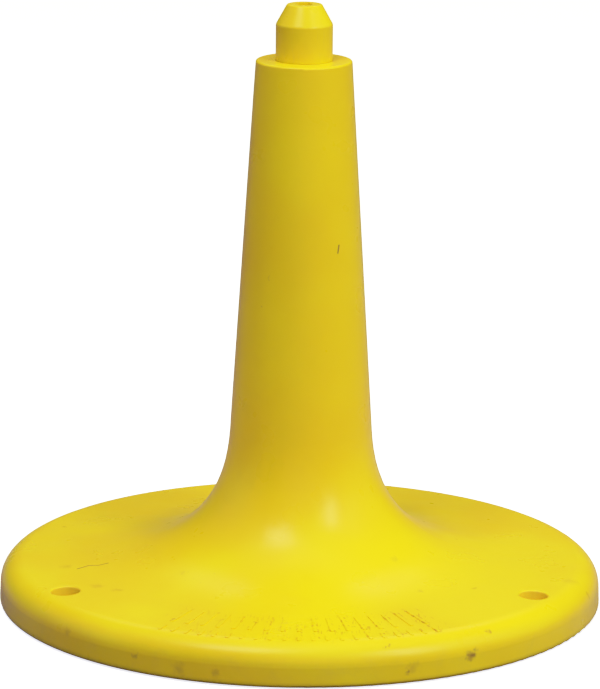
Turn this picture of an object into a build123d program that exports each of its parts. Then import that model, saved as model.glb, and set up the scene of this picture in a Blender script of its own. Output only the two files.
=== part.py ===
"""Pedestal base for a delineator post: a hollow moulded shell filled with sand, on rubber feet,
with a spigot for the post's tube that unscrews from the neck so that the base can be filled.

Frame: millimetres, +Z up, origin on the ground under the centre of the base, front along -Y.
"""

from build123d import *
from math import cos, radians, sin
import os

INCH = 25.4

# Driving sizes of the outer skin
base_radius = 8 * INCH
overall_height = 16 * INCH
rim_gap = 1.0  # the feet hold the rim this far off the ground
side_draft = 1.0
edge_height = 28.4  # where the side and the flange's top would meet without the edge radius
edge_radius = 15.8
rim_bottom_radius = 1.8
flare_start_radius = 142.5
flare_start_height = 31.1
flare_end_radius = 47.9
flare_end_height = 117.1
shoulder_radius = 32.0
shoulder_height = rim_gap + 14.5 * INCH
shoulder_edge_radius = 1.5
wall = 5.0

# Underside
underside_recess_radius = 128.0
underside_recess_depth = 6.0
underside_recess_slope = 10.0
channel_count = 6
channel_start_angle = 30
channel_inner_radius = 36.0
channel_outer_radius = 116.0
channel_width = 12.0
channel_depth = 3.0

# Stake holes, moulded through both skins
stake_hole_radius = 0.75 * INCH / 2
stake_pitch_radius = 7 * INCH
stake_hole_count = 3
stake_start_angle = 90
stake_edge_radius = 1.0
stake_tube_top = 26.0

# Rubber feet
foot_count = 6
foot_radius = 16.0
foot_pitch_radius = 172.0
foot_socket_depth = 4.0
foot_side_gap = 0.2
foot_edge_radius = 1.0
foot_groove_radius = 9.0
foot_groove_width = 2.4
foot_groove_depth = 1.2
foot_dimple_radius = 3.0

# Raised grip bars on the front of the flange
front_angle = -90
bar_height = 0.4
bar_width = 3.0
bar_half_span = 28.0
long_bar_count = 17
long_bar_inner_radius = 149.0
long_bar_length = 26.0
short_bar_count = 21
short_bar_inner_radius = 182.0
short_bar_length = 9.0
bar_root_height = 25.5

# Spigot plug
spigot_radius = 18.9
spigot_chamfer_height = 13.2
spigot_top_radius = 11.6
spigot_edge_radius = 1.2
spigot_corner_radius = 3.0
pilot_radius = 18.6
pilot_depth = 2.0
groove_floor_radius = 16.0
key_sides = 6
key_across_flats = 10.0
key_depth = 11.0
plug_core_radius = 9.0
plug_web = 5.0
shank_lead = 1.0
seat_gap = 0.1

# Neck: screw thread, insert and seal
thread_pitch = 4.0
thread_major_radius = 15.0
thread_depth = 2.0
thread_root_width = 2.7
thread_crest_width = 1.0
thread_clearance = 0.3
thread_overlap = 0.5  # how far a thread ridge reaches into the core that carries it
thread_turns = 6
thread_end_gap = 1.5
spigot_side_gap = 0.2
insert_height = 35.0
insert_body_radius = 22.0
insert_flange_radius = 26.0
insert_flange_height = 5.0
insert_flange_sides = 8
insert_mouth_chamfer = 2.0
insert_extra_turns = 3
neck_lip = 4.0
ring_section_radius = 1.4
ring_gap = 0.1

# Vent plug in the middle of the underside
vent_radius = 8.0
vent_head_radius = 12.0
vent_head_height = 2.0
vent_barb_radius = 8.8
vent_barb_height = 5.0
vent_tip_radius = 6.5
vent_edge_radius = 0.8

# Sand
sand_gap = 0.3
sand_level = 300.0
sand_heap = 9.0
sand_heap_tip_radius = 2.0

shoulder_bore_radius = spigot_radius + spigot_side_gap
flare_slope = (flare_start_height - edge_height) / (base_radius - side_draft - flare_start_radius)
stem_slope = (flare_end_radius - shoulder_radius) / (shoulder_height - flare_end_height)
insert_top = shoulder_height - wall
insert_bottom = insert_top - insert_height
thread_minor_radius = thread_major_radius - thread_depth
thread_start_height = insert_top - thread_end_gap - thread_turns * thread_pitch
shank_bottom = thread_start_height - thread_end_gap
ring_radius = (groove_floor_radius + shoulder_bore_radius) / 2
stake_angles = [stake_start_angle + 360 / stake_hole_count * i for i in range(stake_hole_count)]
foot_angles = [360 / foot_count * i for i in range(foot_count)]
channel_angles = [channel_start_angle + 360 / channel_count * i for i in range(channel_count)]
recess_floor = rim_gap + underside_recess_depth


def flange_height_at(radius, inset):
    """Height of the flange's top, drawn in by inset, at a radius."""
    normal_drop = inset * (1 + flare_slope**2) ** 0.5
    return flare_start_height + (flare_start_radius - radius) * flare_slope - normal_drop


def stem_radius_at(height, inset):
    """Radius of the tapered stem, drawn in by inset, at a height."""
    normal_drop = inset * (1 + stem_slope**2) ** 0.5
    return flare_end_radius - (height - flare_end_height) * stem_slope - normal_drop


def flare_corner(inset):
    """Where the flange's line and the stem's line cross, as radius and height."""
    height_on_axis = flange_height_at(0, inset)
    radius = stem_radius_at(height_on_axis, inset) / (1 - flare_slope * stem_slope)
    return radius, flange_height_at(radius, inset)


def skin_section(inset, top_height):
    """Half section of the shell's skin, drawn in by inset, up to top_height."""
    side_radius = base_radius - inset
    edge_corner_radius = side_radius - side_draft
    floor_height = rim_gap + inset
    recess_height = floor_height + underside_recess_depth
    with BuildSketch(Plane.XZ) as section:
        with BuildLine():
            underside = Polyline(
                (0, recess_height),
                (underside_recess_radius, recess_height),
                (underside_recess_radius + underside_recess_slope, floor_height),
                (side_radius, floor_height),
                (edge_corner_radius, flange_height_at(edge_corner_radius, inset)),
                (flare_start_radius, flange_height_at(flare_start_radius, inset)),
            )
            flare = Bezier(
                underside @ 1,
                flare_corner(inset),
                (stem_radius_at(flare_end_height, inset), flare_end_height),
            )
            Polyline(
                flare @ 1,
                (stem_radius_at(top_height, inset), top_height),
                (0, top_height),
                (0, recess_height),
            )
        make_face()
        edge_corner = vertices().sort_by(Axis.X)[-2]
        fillet(edge_corner, edge_radius - inset)
    return section.sketch


def place_around(pitch_radius, angles):
    """Upright locations on a circle at the given angles."""
    return [
        Location((pitch_radius * cos(radians(a)), pitch_radius * sin(radians(a)), 0)) for a in angles
    ]


def channel_section(height, margin):
    """Stiffening channels of the underside, each a radial slot widened by margin."""
    length = channel_outer_radius - channel_inner_radius
    middle = (channel_outer_radius + channel_inner_radius) / 2
    with BuildSketch(Plane.XY.offset(height)) as section:
        for place, angle in zip(place_around(middle, channel_angles), channel_angles):
            with Locations(Location(place.position, (0, 0, angle))):
                SlotOverall(length + 2 * margin, channel_width + 2 * margin)
    return section.sketch


def thread_ridge(height, turns, root_radius, crest_radius, root_width, crest_width):
    """A helical ridge of trapezoid section, from root_radius out to crest_radius."""
    depth = crest_radius - root_radius
    with BuildPart() as ridge:
        with BuildLine() as path:
            helix = Helix(thread_pitch, turns * thread_pitch, root_radius, center=(0, 0, height))
        with BuildSketch(Plane(origin=helix @ 0, x_dir=(1, 0, 0), z_dir=helix % 0)):
            with BuildLine():
                Polyline(
                    (0, -root_width / 2),
                    (depth, -crest_width / 2),
                    (depth, crest_width / 2),
                    (0, root_width / 2),
                    close=True,
                )
            make_face()
        sweep(path=helix, is_frenet=True)
    return ridge.part


# Raised bars for grip on the front of the flange, part of the shell's moulding
with BuildPart() as grip_bars:
    for count, inner_radius, length in (
        (long_bar_count, long_bar_inner_radius, long_bar_length),
        (short_bar_count, short_bar_inner_radius, short_bar_length),
    ):
        step = 2 * bar_half_span / (count - 1)
        middle = inner_radius + length / 2
        with BuildSketch(Plane.XY.offset(bar_root_height)):
            for index in range(count):
                angle = front_angle - bar_half_span + step * index
                centre = (middle * cos(radians(angle)), middle * sin(radians(angle)), 0)
                with Locations(Location(centre, (0, 0, angle))):
                    SlotOverall(length, bar_width)
        extrude(amount=flare_start_height)
    revolve(skin_section(-bar_height, shoulder_height), axis=Axis.Z, mode=Mode.INTERSECT)

# The insert's outside: a round body between two flanges with flats that stop it turning
with BuildPart() as insert_blank:
    with BuildSketch(Plane.XY.offset(insert_bottom)):
        Circle(insert_body_radius)
    extrude(amount=insert_height)
    for height in (insert_bottom, insert_top - insert_flange_height):
        with BuildSketch(Plane.XY.offset(height)):
            RegularPolygon(insert_flange_radius, insert_flange_sides)
        extrude(amount=insert_flange_height)

# The shell: one hollow moulding, with the insert's seat in its neck
with BuildPart() as base_shell:
    revolve(skin_section(0, shoulder_height), axis=Axis.Z)
    circles = edges().filter_by(GeomType.CIRCLE)
    fillet(circles.group_by(Axis.Z)[-1], shoulder_edge_radius)
    fillet(circles.group_by(Axis.Z)[0].sort_by(SortBy.RADIUS)[-1], rim_bottom_radius)
    add(grip_bars.part)
    revolve(skin_section(wall, insert_bottom - neck_lip), axis=Axis.Z, mode=Mode.SUBTRACT)
    # the neck, open from the sand chamber up to the shoulder
    with BuildSketch(Plane.XY.offset(insert_bottom - neck_lip)):
        Circle(shoulder_bore_radius)
    extrude(amount=shoulder_height - insert_bottom + neck_lip, mode=Mode.SUBTRACT)
    add(insert_blank.part, mode=Mode.SUBTRACT)
    # tubes that join the top and bottom skins round the stake holes
    with BuildSketch(Plane.XY.offset(rim_gap)):
        with Locations(*place_around(stake_pitch_radius, stake_angles)):
            Circle(stake_hole_radius + wall)
    extrude(amount=stake_tube_top - rim_gap)
    with BuildSketch():
        with Locations(*place_around(stake_pitch_radius, stake_angles)):
            Circle(stake_hole_radius)
    extrude(amount=flare_start_height, mode=Mode.SUBTRACT)
    hole_rims = edges(Select.LAST).filter_by(GeomType.LINE, reverse=True)
    fillet(hole_rims, stake_edge_radius)
    # stiffening channels, pressed up into the chamber, and the vent hole
    extrude(channel_section(recess_floor, wall), amount=channel_depth + wall)
    extrude(channel_section(recess_floor, 0), amount=channel_depth, mode=Mode.SUBTRACT)
    with BuildSketch(Plane.XY.offset(recess_floor)):
        Circle(vent_radius)
    extrude(amount=wall, mode=Mode.SUBTRACT)
    # bosses round the feet's sockets
    with BuildSketch(Plane.XY.offset(rim_gap)):
        with Locations(*place_around(foot_pitch_radius, foot_angles)):
            Circle(foot_radius + wall)
    extrude(amount=foot_socket_depth + wall)
    with BuildSketch(Plane.XY.offset(rim_gap)):
        with Locations(*place_around(foot_pitch_radius, foot_angles)):
            Circle(foot_radius + foot_side_gap)
    extrude(amount=foot_socket_depth, mode=Mode.SUBTRACT)
base_shell.part.label = "base_shell"

# Threaded insert that the shell is moulded round
with BuildPart() as neck_insert:
    add(insert_blank.part)
    with BuildSketch(Plane.XY.offset(insert_bottom)):
        Circle(thread_minor_radius + thread_clearance)
    extrude(amount=insert_height, mode=Mode.SUBTRACT)
    add(
        thread_ridge(
            thread_start_height - insert_extra_turns * thread_pitch,
            thread_turns + 2 * insert_extra_turns,
            thread_minor_radius,
            thread_major_radius + thread_clearance,
            thread_root_width + 2 * thread_clearance,
            thread_crest_width + thread_clearance,
        ),
        mode=Mode.SUBTRACT,
    )
    with Locations((0, 0, insert_top - insert_mouth_chamfer)):
        Cone(
            thread_major_radius - insert_mouth_chamfer,
            thread_major_radius + thread_clearance,
            insert_mouth_chamfer,
            align=(Align.CENTER, Align.CENTER, Align.MIN),
            mode=Mode.SUBTRACT,
        )
neck_insert.part.label = "neck_insert"

# Spigot plug: the spigot that the post's tube fits over, with the screw below it
with BuildPart() as spigot_plug:
    spigot_bottom = shoulder_height + seat_gap
    pilot_bottom = shoulder_height - pilot_depth
    spigot_corner_height = overall_height - spigot_chamfer_height
    groove_bottom = insert_top + seat_gap
    with BuildSketch(Plane.XZ):
        with BuildLine():
            Polyline(
                (0, shank_bottom),
                (thread_minor_radius - shank_lead, shank_bottom),
                (thread_minor_radius, shank_bottom + shank_lead),
                (thread_minor_radius, groove_bottom),
                (groove_floor_radius, groove_bottom),
                (groove_floor_radius, pilot_bottom),
                (pilot_radius, pilot_bottom),
                (pilot_radius, spigot_bottom),
                (spigot_radius, spigot_bottom),
                (spigot_radius, spigot_corner_height),
                (spigot_top_radius, overall_height),
                (0, overall_height),
                close=True,
            )
        make_face()
    revolve(axis=Axis.Z)
    circles = edges().filter_by(GeomType.CIRCLE).group_by(Axis.Z)
    fillet(circles[-1], spigot_edge_radius)
    fillet(circles[-2], spigot_corner_radius)
    add(
        thread_ridge(
            thread_start_height,
            thread_turns,
            thread_minor_radius - thread_overlap,
            thread_major_radius,
            thread_root_width + thread_overlap,
            thread_crest_width,
        )
    )
    # hexagon socket for the key, and the hollow core below it
    with BuildSketch(Plane.XY.offset(overall_height)):
        RegularPolygon(key_across_flats / 2, key_sides, major_radius=False)
    extrude(amount=-key_depth, mode=Mode.SUBTRACT)
    with BuildSketch(Plane.XY.offset(shank_bottom)):
        Circle(plug_core_radius)
    extrude(amount=overall_height - key_depth - plug_web - shank_bottom, mode=Mode.SUBTRACT)
spigot_plug.part.label = "spigot_plug"

# Seal under the spigot
with BuildPart() as plug_o_ring:
    with Locations((0, 0, insert_top + ring_gap + ring_section_radius)):
        Torus(ring_radius, ring_section_radius)
plug_o_ring.part.label = "plug_o_ring"

# Plug that snaps into the vent hole from below
vent_barb_bottom = recess_floor + wall
with BuildPart() as vent_plug:
    with BuildSketch(Plane.XZ):
        with BuildLine():
            Polyline(
                (0, recess_floor - vent_head_height),
                (vent_head_radius, recess_floor - vent_head_height),
                (vent_head_radius, recess_floor),
                (vent_radius, recess_floor),
                (vent_radius, vent_barb_bottom),
                (vent_barb_radius, vent_barb_bottom),
                (vent_tip_radius, vent_barb_bottom + vent_barb_height),
                (0, vent_barb_bottom + vent_barb_height),
                close=True,
            )
        make_face()
    revolve(axis=Axis.Z)
    fillet(edges().group_by(Axis.Z)[0], vent_edge_radius)
vent_plug.part.label = "vent_plug"

# Sand that fills the shell, with a low heap under the neck
with BuildPart() as sand_ballast:
    revolve(skin_section(wall + sand_gap, sand_level), axis=Axis.Z)
    with Locations((0, 0, sand_level)):
        Cone(
            stem_radius_at(sand_level, wall + sand_gap),
            sand_heap_tip_radius,
            sand_heap,
            align=(Align.CENTER, Align.CENTER, Align.MIN),
        )
    with BuildSketch():
        with Locations(*place_around(stake_pitch_radius, stake_angles)):
            Circle(stake_hole_radius + wall + sand_gap)
    extrude(amount=flare_start_height, mode=Mode.SUBTRACT)
    with BuildSketch():
        with Locations(*place_around(foot_pitch_radius, foot_angles)):
            Circle(foot_radius + wall + sand_gap)
    extrude(amount=rim_gap + foot_socket_depth + wall + sand_gap, mode=Mode.SUBTRACT)
    extrude(
        channel_section(recess_floor, wall + sand_gap),
        amount=channel_depth + wall + sand_gap,
        mode=Mode.SUBTRACT,
    )
    with BuildSketch():
        Circle(vent_barb_radius + sand_gap)
    extrude(amount=vent_barb_bottom + vent_barb_height + sand_gap, mode=Mode.SUBTRACT)
sand_ballast.part.label = "sand_ballast"

# Rubber feet, bonded into their sockets
feet = []
for number, place in enumerate(place_around(foot_pitch_radius, foot_angles), 1):
    with BuildPart() as foot:
        with BuildSketch(Plane(place)):
            Circle(foot_radius)
        extrude(amount=rim_gap + foot_socket_depth)
        fillet(edges().group_by(Axis.Z)[0], foot_edge_radius)
        with BuildSketch(Plane(place)):
            Circle(foot_groove_radius + foot_groove_width)
            Circle(foot_groove_radius, mode=Mode.SUBTRACT)
            Circle(foot_dimple_radius)
        extrude(amount=foot_groove_depth, mode=Mode.SUBTRACT)
    foot.part.label = f"foot_{number}"
    feet.append(foot.part)

os.makedirs("parts", exist_ok=True)
export_step(base_shell.part, "parts/base_shell.step")
export_step(neck_insert.part, "parts/neck_insert.step")
export_step(spigot_plug.part, "parts/spigot_plug.step")
export_step(plug_o_ring.part, "parts/plug_o_ring.step")
export_step(vent_plug.part, "parts/vent_plug.step")
export_step(sand_ballast.part, "parts/sand_ballast.step")
for foot_part in feet:
    export_step(foot_part, f"parts/{foot_part.label}.step")
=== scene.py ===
"""Looks of the delineator post's base: materials, floor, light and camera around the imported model."""

import math

import bpy
from mathutils import Matrix, Vector

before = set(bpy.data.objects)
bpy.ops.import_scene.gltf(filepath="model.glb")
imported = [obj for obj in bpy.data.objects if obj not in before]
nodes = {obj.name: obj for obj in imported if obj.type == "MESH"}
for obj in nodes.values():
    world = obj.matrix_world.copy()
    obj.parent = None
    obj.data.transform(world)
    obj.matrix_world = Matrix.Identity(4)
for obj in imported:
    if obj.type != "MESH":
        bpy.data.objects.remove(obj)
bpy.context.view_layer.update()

# Lengths are in metres, except where a comment says mm
MM = 0.001

# Camera: the focal length is in heights of the picture, and the roll in radians
CAMERA_DISTANCE = 2.7188
CAMERA_HEIGHT = 0.8313
AIM_X = -0.0011
AIM_HEIGHT = 0.1761
CAMERA_ROLL = 0.0086
FOCAL_HEIGHTS = 6.0545
SENSOR_HEIGHT = 36.0

# Softboxes, all aimed at one point of the object: name, azimuth from the front (to the right)
# and elevation in degrees, distance, width, height, watts and colour
LIGHT_AIM = Vector((0, 0, 0.15))
LIGHTS = (
    ("key_strip", 44, 34, 1.9, 0.36, 0.80, 12.3, (1.0, 1.0, 0.9)),
    ("side_box", 75, 34, 2.2, 0.8, 1.3, 4.4, (1.0, 0.86, 0.66)),
    ("back_box", 180, 45, 2.2, 1.6, 0.6, 4.0, (1.0, 0.95, 0.85)),
    ("small_box", -34, 60, 1.9, 0.70, 0.70, 16.5, (1.0, 0.92, 0.80)),
)
# The tent round the object: each glowing lobe's direction, how narrow it is, and its colour
# and brightness. The base is the glow between the lobes.
TENT_LOBES = (
    ((0, 0, 1), 12, (3.20, 2.98, 1.0)),
    ((0.966, -0.1, 0.259), 6, (1.60, 1.62, 0.5)),
    ((-0.574, 0, 0.819), 12, (0.45, 0.55, 0.2)),
    ((0, -0.574, 0.819), 12, (0.1, 0.45, 0.1)),
    ((0, -0.966, 0.259), 6, (0.0, 0.0, 0.8)),
    ((-0.966, 0, 0.259), 6, (0.0, 0.0, 0.8)),
    ((0, 0.966, 0.259), 6, (0.0, 0.0, 0.1)),
)
TENT_BASE = (0.02, 0.02, 0.02)

# The film: the brightness that it shows as full white, and the bends of its soft shoulder,
# each with the brightness in the scene and as shown
FILM_WHITE = 1.5
SHOULDER = ((0.25, 0.25), (0.43, 0.43), (0.60, 0.57), (0.80, 0.73), (1.15, 0.88))

# The floor's colour and glow as the camera sees them, and its colour for all other light
FLOOR_HALF_SIDE = 30.0
FLOOR_COLOUR = (0.90, 0.90, 1.0)
FLOOR_GLOW = 1.0
FLOOR_GLOW_COLOUR = (1.0, 1.0, 1.05)
FLOOR_BOUNCE = (0.20, 0.14, 0.60)

# Linear colours of the yellow plastic: its two pigments, three kinds of dirt, a painted glow on its thin
# walls that stands in for light behind them, and a painted shade along the foot of its rim
LEMON = (0.87, 0.65, 0.008)
GOLD = (0.84, 0.59, 0.008)
GRIME = (0.30, 0.17, 0.03)
SCUFF_GREY = (0.42, 0.31, 0.10)
DUST = (0.46, 0.22, 0.015)
# Painted light: brighter than the plastic, for light through the stake holes' walls
HOLE_PAINTED_GLOW = (1.0, 0.70, 0.035)
# Painted shade: darker and greener, along the rim's foot next to the floor
FOOT_PAINTED_SHADE = (0.33, 0.25, 0.01)
# How it takes light: the surface's sockets, with underscores for spaces
YELLOW_LIGHT = {
    "IOR": 1.45,
    "Specular_IOR_Level": 0.24,
    "Subsurface_Weight": 0.08,
    "Subsurface_Radius": (0.004, 0.0025, 0.0003),
    "Subsurface_Scale": 1.0,
}
GLOSSIEST = 0.27
DULLEST = 0.33
# Its moulded skin: the sizes of the shallow dimples and the fine grain, the grain's share,
# and the depth on the shell and on the plug
DIMPLE_SIZE = 0.005
GRAIN_SIZE = 0.0008
GRAIN_SHARE = 0.25
SHELL_RELIEF = 0.00003
PLUG_RELIEF = 0.00002

# Smudges on the shell: angle from the front in degrees, to the right, radius and height in mm,
# size across in mm, darkness
SMUDGES = (
    (-111, 175, 30, 5, 0.6),
    (-113, 98, 40, 6, 0.7),
    (-77, 161, 30, 12, 0.25),
    (-59, 156, 30, 14, 0.3),
    (-53, 150, 31, 10, 0.3),
    (-47, 106, 37, 9, 0.2),
    (-28, 172, 30, 4, 0.8),
    (-18, 161, 30, 6, 0.35),
    (-10, 161, 31, 4, 0.8),
    (-2, 168, 30, 3, 0.6),
    (6, 173, 30, 3, 0.6),
    (12, 168, 30, 4, 0.8),
    (16, 197, 25, 4, 0.6),
    (17, 197, 26, 5, 0.6),
    (40, 124, 33, 7, 0.3),
    (55, 141, 31, 7, 0.35),
    (46, 88, 45, 10, 0.2),
    (73, 189, 29, 16, 0.2),
    (-48, 202, 16, 9, 0.3),
    (-31, 203, 12, 7, 0.45),
    (-22, 203, 8, 14, 0.35),
    (-15, 203, 8, 9, 0.35),
    (20, 203, 9, 7, 0.8),
    (21, 203, 11, 12, 0.3),
    (33, 203, 13, 10, 1.0),
    (34, 202, 17, 6, 0.6),
    (38, 198, 25, 5, 0.6),
    (73, 201, 20, 9, 0.3),
    (128, 203, 12, 9, 0.7),
    (160, 190, 28, 12, 0.3),
    (-150, 203, 10, 10, 0.6),
    (-34, 41, 230, 3, 0.4),
    (-38, 42, 209, 3, 0.4),
    (140, 42, 180, 6, 0.4),
)
# How finely and how far the smudges' outlines fray
FRAY_SIZE = 0.004
FRAY_REACH = 0.008
NOISE_MIDDLE = (0.5, 0.5, 0.5)

# Hairline scratches on the shell: angle in degrees, radius and height in mm of each bend
SCRATCHES = (
    ((-74.2, 154.4, 30.6), (-76.0, 145.9, 30.9), (-75.2, 139.8, 31.3), (-76.0, 132.5, 31.8)),
    ((36.0, 40, 246.0), (37.5, 39.5, 251.0)),
)
# A scratch fades out at the edge and is full at the core, by distance from its middle
SCRATCH_EDGE = 0.0009
SCRATCH_CORE = 0.00027
SCRATCH_DARKNESS = 0.95
# How deep a scratch is, where the dimples are 1 deep
SCRATCH_DEPTH = 2.0

# The stake holes: angles in degrees, distance from the axis in mm, and the radii
# at which the painted glow on their walls begins and is full
HOLE_ANGLES = (-60, 60, 180)
HOLE_PITCH_RADIUS = 177.8
HOLE_GLOW_RADII = (0.0099, 0.0096)

# The raised grip bars, one at the front and the others evenly to both sides of it
BAR_STEP = math.radians(3.5)
BAR_HALF_WIDTH = 0.0015
# Their dust begins and is full at these radii, heights, angles, and distances from a bar's side
BARS_INNER = (0.142, 0.150)
BARS_OUTER = (0.194, 0.188)
BARS_HEIGHT = (0.020, 0.024)
BARS_ANGLE = (math.radians(31) + 0.03, math.radians(31) - 0.03)
BAR_SIDE = (0.0010, 0.0003)
# The dust thickens to the right between these angles in radians, from this share at the left
DUST_LEAN = (-0.5, 0.2)
DUST_AT_LEFT = 0.35
# The flecks' noise is drawn out along each axis whose number is less than 1, as in other stretches
FLECK_STRETCH = (1, 0.12, 1)
FLECK_STRENGTH = 0.8
DUST_STRENGTH = 0.65

# Where other marks of the shell, and the painted shade along the rim's foot, begin and are full, by height or
# radius
SPECKS_HEIGHT = (0.060, 0.045)
RIM_SIDE_RADIUS = (0.1995, 0.2025)
# The painted shade darkens the rim's side towards the floor, between these heights
FOOT_SHADE_HEIGHT = (0.0055, 0.0015)
UNDERSIDE_HEIGHT = (0.0105, 0.0085)
UNDERSIDE_RADIUS = (0.2010, 0.1995)
SPECK_STRENGTH = 0.33
RUB_STRENGTH = 0.10
FOOT_SHADE_STRENGTH = 0.6
# How much rougher worn plastic is
WEAR_ROUGHNESS = 0.3

# Rub marks on the spigot's wall: the radii where they begin and are full
SPIGOT_WALL_RADIUS = (0.0175, 0.0185)
SPIGOT_RUB_STRETCH = (1, 1, 0.06)
SPIGOT_RUB = 0.12
SPIGOT_RUB_ROUGHNESS = 0.4

# The other pieces: linear colours, and what else shapes their textures
RUBBER_DARK = (0.018, 0.018, 0.018)
RUBBER_PALE = (0.034, 0.033, 0.032)
RUBBER_DUST = (0.20, 0.17, 0.13)
RUBBER_UNEVENNESS = 0.2
BLACK_PLASTIC = (0.022, 0.022, 0.024)
WORN_PLASTIC = (0.10, 0.095, 0.09)
ALUMINIUM = (0.80, 0.80, 0.81)
STAINED_ALUMINIUM = (0.58, 0.58, 0.58)
LATHE_STRETCH = (0.05, 0.05, 1)
SAND_DARK = (0.36, 0.24, 0.13)
SAND_PALE = (0.80, 0.68, 0.50)
SAND_DAMP = (0.30, 0.21, 0.12)
SAND_GRAIN = 0.0009
DAMPEST = 0.35


class Nodes:
    """A node tree, with a short method for each kind of node that the scene uses."""

    def __init__(self, tree, coordinates):
        self.tree = tree
        self.place = self.node("ShaderNodeTexCoord").outputs[coordinates]

    def node(self, kind, **settings):
        node = self.tree.nodes.new(kind)
        for key, value in settings.items():
            setattr(node, key, value)
        return node

    def put(self, socket, value):
        """Links another node's output to a socket, or sets the socket to a plain value."""
        if isinstance(value, bpy.types.NodeSocket):
            self.tree.links.new(value, socket)
        elif socket.type == "RGBA":
            socket.default_value = (*value, 1)
        else:
            socket.default_value = value

    def math(self, operation, a, b=0.0):
        node = self.node("ShaderNodeMath", operation=operation)
        self.put(node.inputs[0], a)
        self.put(node.inputs[1], b)
        return node.outputs[0]

    def product(self, value, *others):
        """All the values multiplied together."""
        for other in others:
            value = self.math("MULTIPLY", value, other)
        return value

    def largest(self, value, *others):
        """The largest of the values."""
        for other in others:
            value = self.math("MAXIMUM", value, other)
        return value

    def vector(self, operation, a, b=(0, 0, 0), output="Vector"):
        node = self.node("ShaderNodeVectorMath", operation=operation)
        self.put(node.inputs[0], a)
        self.put(node.inputs["Scale"] if operation == "SCALE" else node.inputs[1], b)
        return node.outputs[output]


class Shader(Nodes):
    """A material's nodes, laid out by the object's own coordinates."""

    def __init__(self, name):
        self.material = bpy.data.materials.new(name)
        self.material.use_nodes = True
        super().__init__(self.material.node_tree, "Object")
        self.surface = self.tree.nodes["Principled BSDF"]

    def set(self, **values):
        """Sets the surface's own sockets: underscores stand for spaces."""
        for key, value in values.items():
            self.put(self.surface.inputs[key.replace("_", " ")], value)

    def noise(self, size, detail=3.0, roughness=0.5, place=None, output="Fac"):
        """Cloudy noise whose features are about size metres across."""
        node = self.node("ShaderNodeTexNoise")
        self.put(node.inputs["Vector"], place or self.place)
        self.put(node.inputs["Scale"], 1 / size)
        self.put(node.inputs["Detail"], detail)
        self.put(node.inputs["Roughness"], roughness)
        return node.outputs[output]

    def ramp(self, value, start, end, low=0.0, high=1.0):
        """Goes smoothly from low, where value is start, to high, where it is end."""
        node = self.node("ShaderNodeMapRange", interpolation_type="SMOOTHSTEP")
        for index, number in enumerate((value, start, end, low, high)):
            self.put(node.inputs[index], number)
        return node.outputs[0]

    def patches(self, size, start, end, low=0.0, high=1.0, **settings):
        """Patches about size metres across: low where the noise is under start, high over end."""
        return self.ramp(self.noise(size, **settings), start, end, low, high)

    def mix(self, factor, a, b):
        """A colour factor of the way from a to b."""
        # sockets 6 and 7 are the node's colour inputs, and 2 is its colour output
        node = self.node("ShaderNodeMix", data_type="RGBA")
        self.put(node.inputs[0], factor)
        self.put(node.inputs[6], a)
        self.put(node.inputs[7], b)
        return node.outputs[2]

    def plan(self):
        """The place as seen from above, without its height."""
        return self.vector("MULTIPLY", self.place, (1, 1, 0))

    def polar(self):
        """The radius from the axis, the height, and the angle from the front, to the right."""
        parts = self.node("ShaderNodeSeparateXYZ")
        self.put(parts.inputs[0], self.place)
        x, y, height = parts.outputs
        radius = self.vector("LENGTH", self.plan(), output="Value")
        angle = self.math("ARCTAN2", x, self.math("MULTIPLY", y, -1))
        return radius, height, angle

    def bump(self, relief, distance):
        node = self.node("ShaderNodeBump")
        self.put(node.inputs["Height"], relief)
        self.put(node.inputs["Distance"], distance)
        self.set(Normal=node.outputs[0])


def point(angle, radius, height):
    """A point by its angle from the front in degrees, to the right, and radius and height in mm."""
    turn = math.radians(angle)
    return Vector((math.sin(turn) * radius, -math.cos(turn) * radius, height)) * MM


def paint(node_names, material):
    for name in node_names:
        for material_slot in nodes[name].material_slots:
            material_slot.link = "OBJECT"
            material_slot.material = material


def yellow_base(shader):
    """Colour and relief of the moulded yellow plastic before any marks of use."""
    clouds = shader.patches(size=0.09, start=0.35, end=0.65, detail=2.0)
    colour = shader.mix(clouds, GOLD, LEMON)
    dimples = shader.noise(DIMPLE_SIZE, detail=2.0)
    grain = shader.noise(GRAIN_SIZE, detail=2.0)
    relief = shader.math("ADD", dimples, shader.product(grain, GRAIN_SHARE))
    return colour, relief


def dirt_on_shell(shader, radius, height):
    """Smudges, specks on the flange, and grime on the underside."""
    wander = shader.noise(FRAY_SIZE, detail=2.0, output="Color")
    offset = shader.vector("SUBTRACT", wander, NOISE_MIDDLE)
    frayed = shader.vector("ADD", shader.place, shader.vector("SCALE", offset, FRAY_REACH))
    dirt = 0.0
    for mark_angle, mark_radius, mark_height, size, darkness in SMUDGES:
        centre = point(mark_angle, mark_radius, mark_height)
        distance = shader.vector("DISTANCE", frayed, centre, output="Value")
        mark = shader.ramp(distance, start=size * MM / 2, end=0.0, high=darkness)
        dirt = shader.largest(mark, dirt)

    speckled = shader.patches(size=0.05, start=0.52, end=0.75, detail=4.0, roughness=0.6)
    specks = shader.patches(size=0.0022, start=0.66, end=0.76, detail=2.0)
    on_flange = shader.ramp(height, *SPECKS_HEIGHT, high=SPECK_STRENGTH)
    specks = shader.product(speckled, specks, on_flange)

    below = shader.product(shader.ramp(height, *UNDERSIDE_HEIGHT), shader.ramp(radius, *UNDERSIDE_RADIUS))
    soil = shader.patches(size=0.03, start=0.45, end=0.70, low=0.05, high=0.45, detail=6.0, roughness=0.7)
    return shader.largest(dirt, specks, shader.product(below, soil))


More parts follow.
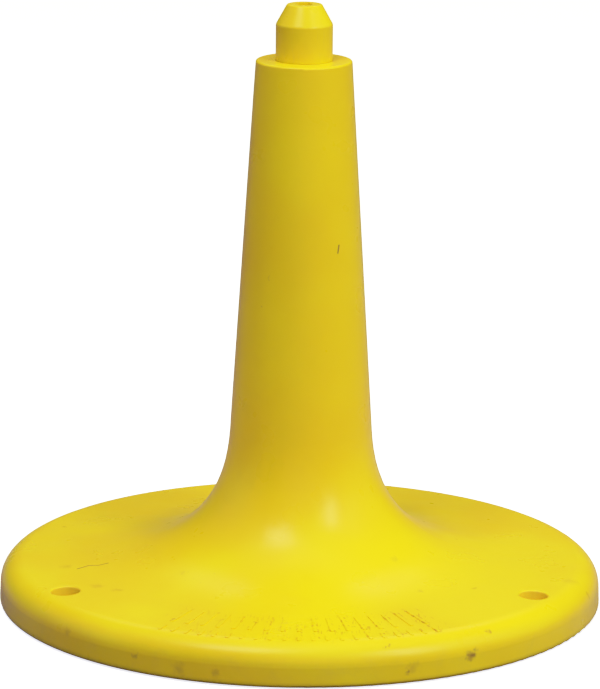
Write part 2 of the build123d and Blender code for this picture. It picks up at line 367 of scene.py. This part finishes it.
def dust_at_bars(shader, radius, height, angle):
    """Dust that lodges along the sides of the grip bars, and flecks of it between them."""
    inner = shader.ramp(radius, *BARS_INNER)
    outer = shader.ramp(radius, *BARS_OUTER)
    span = shader.ramp(shader.math("ABSOLUTE", angle), *BARS_ANGLE)
    on_top = shader.ramp(height, *BARS_HEIGHT)
    off_centre = shader.product(shader.math("PINGPONG", angle, BAR_STEP / 2), radius)
    off_side = shader.math("ABSOLUTE", shader.math("SUBTRACT", off_centre, BAR_HALF_WIDTH))
    beside = shader.ramp(off_side, *BAR_SIDE)
    lodged = shader.patches(size=0.005, start=0.50, end=0.60, roughness=0.6)
    drawn_out = shader.vector("MULTIPLY", shader.place, FLECK_STRETCH)
    flecks = shader.patches(size=0.0016, start=0.60, end=0.70, detail=2.0, place=drawn_out)
    dusty = shader.patches(size=0.018, start=0.34, end=0.54, detail=2.0)
    lean = shader.ramp(angle, *DUST_LEAN, low=DUST_AT_LEFT)
    dust = shader.largest(shader.product(beside, lodged), shader.product(flecks, FLECK_STRENGTH))
    return shader.product(dust, dusty, inner, outer, span, on_top, lean)


def painted_hole_glow(shader):
    """Painted light: the stake holes' thin walls, coloured brighter to stand in for light let through them.
    """
    plan = shader.plan()
    walls = 0.0
    for hole_angle in HOLE_ANGLES:
        centre = point(hole_angle, HOLE_PITCH_RADIUS, 0)
        distance = shader.vector("DISTANCE", plan, centre, output="Value")
        walls = shader.largest(shader.ramp(distance, *HOLE_GLOW_RADII), walls)
    return walls


def stroke(shader, start, end):
    """A thin line from start to end, 1 in its middle and 0 beside it."""
    along = end - start
    reach = shader.vector("SUBTRACT", shader.place, start)
    share = shader.vector("DOT_PRODUCT", reach, along / along.length_squared, output="Value")
    clamped = shader.math("MINIMUM", shader.math("MAXIMUM", share, 0.0), 1.0)
    nearest = shader.node("ShaderNodeCombineXYZ")
    for index in range(3):
        shader.put(nearest.inputs[index], shader.product(clamped, along[index]))
    distance = shader.vector("DISTANCE", reach, nearest.outputs[0], output="Value")
    return shader.ramp(distance, SCRATCH_EDGE, SCRATCH_CORE)


def scratches(shader):
    scratched = 0.0
    for bends in SCRATCHES:
        for start, end in zip(bends[:-1], bends[1:]):
            scratched = shader.largest(stroke(shader, point(*start), point(*end)), scratched)
    return scratched


def yellow_shell():
    shader = Shader("moulded_yellow")
    colour, relief = yellow_base(shader)
    radius, height, angle = shader.polar()
    dirt = dirt_on_shell(shader, radius, height)
    dust = dust_at_bars(shader, radius, height, angle)
    side = shader.ramp(radius, *RIM_SIDE_RADIUS)
    rub = shader.patches(size=0.02, start=0.45, end=0.75, high=RUB_STRENGTH, detail=5.0, roughness=0.7)
    rubbed = shader.product(side, rub)
    # Painted shade: the rim's side darkens to olive towards the floor
    painted_foot_shade = shader.product(side, shader.ramp(height, *FOOT_SHADE_HEIGHT, high=FOOT_SHADE_STRENGTH))
    scratched = scratches(shader)

    # Painted light: the stake holes' walls are brightened as if lit through from behind
    colour = shader.mix(painted_hole_glow(shader), colour, HOLE_PAINTED_GLOW)
    colour = shader.mix(rubbed, colour, SCUFF_GREY)
    # The painted shade at the rim's foot
    colour = shader.mix(painted_foot_shade, colour, FOOT_PAINTED_SHADE)
    colour = shader.mix(shader.product(dust, DUST_STRENGTH), colour, DUST)
    colour = shader.mix(dirt, colour, GRIME)
    colour = shader.mix(shader.product(scratched, SCRATCH_DARKNESS), colour, GRIME)

    gloss = shader.patches(size=0.03, start=0.3, end=0.7, low=GLOSSIEST, high=DULLEST)
    worn = shader.product(shader.largest(dirt, rubbed, scratched), WEAR_ROUGHNESS)
    shader.set(Base_Color=colour, Roughness=shader.math("ADD", gloss, worn), **YELLOW_LIGHT)
    relief = shader.math("SUBTRACT", relief, shader.product(scratched, SCRATCH_DEPTH))
    shader.bump(relief, SHELL_RELIEF)
    return shader.material


def yellow_plug():
    """The shell's plastic, with upright rub marks from the tube that slides over the spigot."""
    shader = Shader("moulded_yellow_plug")
    colour, relief = yellow_base(shader)
    radius = shader.vector("LENGTH", shader.plan(), output="Value")
    drawn_out = shader.vector("MULTIPLY", shader.place, SPIGOT_RUB_STRETCH)
    streaks = shader.patches(size=0.0012, start=0.55, end=0.75, roughness=0.6, place=drawn_out)
    rub = shader.product(streaks, shader.ramp(radius, *SPIGOT_WALL_RADIUS), SPIGOT_RUB)
    colour = shader.mix(rub, colour, SCUFF_GREY)
    gloss = shader.patches(size=0.012, start=0.3, end=0.7, low=GLOSSIEST, high=DULLEST)
    worn = shader.product(rub, SPIGOT_RUB_ROUGHNESS)
    shader.set(Base_Color=colour, Roughness=shader.math("ADD", gloss, worn), **YELLOW_LIGHT)
    shader.bump(relief, PLUG_RELIEF)
    return shader.material


def black_rubber(name, roughness, dust):
    """Black rubber with the given least roughness, and pale dust as strong as given."""
    shader = Shader(name)
    cloud = shader.noise(size=0.006, detail=5.0, roughness=0.65)
    dusty = shader.ramp(cloud, start=0.45, end=0.75, high=dust)
    tone = shader.mix(shader.noise(size=0.0015, detail=2.0), RUBBER_DARK, RUBBER_PALE)
    colour = shader.mix(dusty, tone, RUBBER_DUST)
    uneven = shader.product(cloud, RUBBER_UNEVENNESS)
    shader.set(Base_Color=colour, Roughness=shader.math("ADD", uneven, roughness))
    shader.bump(shader.noise(size=0.0007), distance=0.00008)
    return shader.material


def vent_plastic():
    shader = Shader("black_moulded_plastic")
    grain = shader.noise(size=0.0009)
    wear = shader.patches(size=0.008, start=0.5, end=0.8, high=0.6, detail=5.0, roughness=0.7)
    colour = shader.mix(wear, BLACK_PLASTIC, WORN_PLASTIC)
    shader.set(Base_Color=colour, Roughness=shader.ramp(grain, start=0.3, end=0.7, low=0.42, high=0.58))
    shader.bump(grain, distance=0.00006)
    return shader.material


def turned_aluminium():
    """Aluminium with the fine rings that a lathe leaves, and a few dull stains."""
    shader = Shader("turned_aluminium")
    drawn_out = shader.vector("MULTIPLY", shader.place, LATHE_STRETCH)
    rings = shader.noise(size=0.0003, place=drawn_out)
    stain = shader.patches(size=0.012, start=0.4, end=0.75, detail=4.0)
    colour = shader.mix(stain, ALUMINIUM, STAINED_ALUMINIUM)
    roughness = shader.ramp(rings, start=0.3, end=0.7, low=0.26, high=0.46)
    shader.set(Base_Color=colour, Metallic=1.0, Roughness=roughness)
    shader.bump(rings, distance=0.00003)
    return shader.material


def dry_sand():
    """Grains of sand in tones of their own, damp in places."""
    shader = Shader("dry_sand")
    grains = shader.node("ShaderNodeTexVoronoi")
    shader.put(grains.inputs["Vector"], shader.place)
    shader.put(grains.inputs["Scale"], 1 / SAND_GRAIN)
    tone = shader.node("ShaderNodeSeparateColor")
    shader.put(tone.inputs[0], grains.outputs["Color"])
    damp = shader.patches(size=0.04, start=0.4, end=0.7, high=DAMPEST, detail=4.0)
    colour = shader.mix(tone.outputs[0], SAND_DARK, SAND_PALE)
    colour = shader.mix(damp, colour, SAND_DAMP)
    shader.set(Base_Color=colour, Roughness=shader.ramp(damp, start=0.0, end=DAMPEST, low=0.95, high=0.8))
    shader.bump(grains.outputs["Distance"], distance=0.0003)
    return shader.material


def make_floor():
    """A pale, matt studio floor. It looks white, and throws back no more light than a grey one."""
    half = FLOOR_HALF_SIDE
    corners = [(-half, -half, 0), (half, -half, 0), (half, half, 0), (-half, half, 0)]
    mesh = bpy.data.meshes.new("floor")
    mesh.from_pydata(corners, [], [(0, 1, 2, 3)])
    floor = bpy.data.objects.new("floor", mesh)
    bpy.context.scene.collection.objects.link(floor)
    shader = Shader("pale_floor")
    seen = shader.node("ShaderNodeLightPath").outputs["Is Camera Ray"]
    shader.set(Base_Color=shader.mix(seen, FLOOR_BOUNCE, FLOOR_COLOUR), Roughness=0.9, Specular_IOR_Level=0.1)
    shader.set(Emission_Color=FLOOR_GLOW_COLOUR, Emission_Strength=shader.product(seen, FLOOR_GLOW))
    mesh.materials.append(shader.material)


def make_softbox(name, azimuth, elevation, distance, width, height, watts, colour):
    data = bpy.data.lights.new(name, "AREA")
    data.shape = "RECTANGLE"
    data.size = width
    data.size_y = height
    data.energy = watts
    data.color = colour
    light = bpy.data.objects.new(name, data)
    bpy.context.scene.collection.objects.link(light)
    turn = math.radians(azimuth)
    rise = math.radians(elevation)
    towards = Vector((math.sin(turn) * math.cos(rise), -math.cos(turn) * math.cos(rise), math.sin(rise)))
    facing = towards.to_track_quat("Z", "Y").to_matrix().to_4x4()
    light.matrix_world = Matrix.Translation(LIGHT_AIM + towards * distance) @ facing


def make_tent():
    """A tent that glows more from some sides than from others."""
    world = bpy.data.worlds.new("studio")
    bpy.context.scene.world = world
    world.use_nodes = True
    tent = Nodes(world.node_tree, "Generated")
    glow = TENT_BASE
    for direction, narrowness, colour in TENT_LOBES:
        facing = tent.vector("DOT_PRODUCT", tent.place, Vector(direction).normalized(), output="Value")
        lobe = tent.math("POWER", tent.math("MAXIMUM", facing, 0.0), narrowness)
        glow = tent.vector("ADD", tent.vector("SCALE", colour, lobe), glow)
    tent.put(tent.tree.nodes["Background"].inputs["Color"], glow)


def set_film():
    """Plain colours, with bright tones eased towards white instead of cut off."""
    settings = bpy.context.scene.view_settings
    settings.view_transform = "Standard"
    settings.use_curve_mapping = True
    mapping = settings.curve_mapping
    mapping.white_level = (FILM_WHITE, FILM_WHITE, FILM_WHITE)
    all_channels = mapping.curves[3]
    for in_scene, shown in SHOULDER:
        all_channels.points.new(in_scene / FILM_WHITE, shown)
    mapping.update()


def make_camera():
    data = bpy.data.cameras.new("camera")
    data.sensor_width = SENSOR_HEIGHT
    data.lens = FOCAL_HEIGHTS * SENSOR_HEIGHT
    camera = bpy.data.objects.new("camera", data)
    bpy.context.scene.collection.objects.link(camera)
    position = Vector((0, -CAMERA_DISTANCE, CAMERA_HEIGHT))
    aim = Vector((AIM_X, 0, AIM_HEIGHT))
    turn = (aim - position).to_track_quat("-Z", "Y").to_matrix()
    turn = turn @ Matrix.Rotation(CAMERA_ROLL, 3, "Z")
    camera.matrix_world = Matrix.Translation(position) @ turn.to_4x4()
    bpy.context.scene.camera = camera


make_camera()
paint(["base_shell"], yellow_shell())
paint(["spigot_plug"], yellow_plug())
paint(["neck_insert"], turned_aluminium())
paint(["plug_o_ring"], black_rubber("seal_rubber", roughness=0.35, dust=0.1))
paint(["vent_plug"], vent_plastic())
paint(["sand_ballast"], dry_sand())
feet = [name for name in nodes if name.startswith("foot_")]
paint(feet, black_rubber("foot_rubber", roughness=0.6, dust=0.5))

make_floor()
make_tent()
for softbox in LIGHTS:
    make_softbox(*softbox)
set_film()
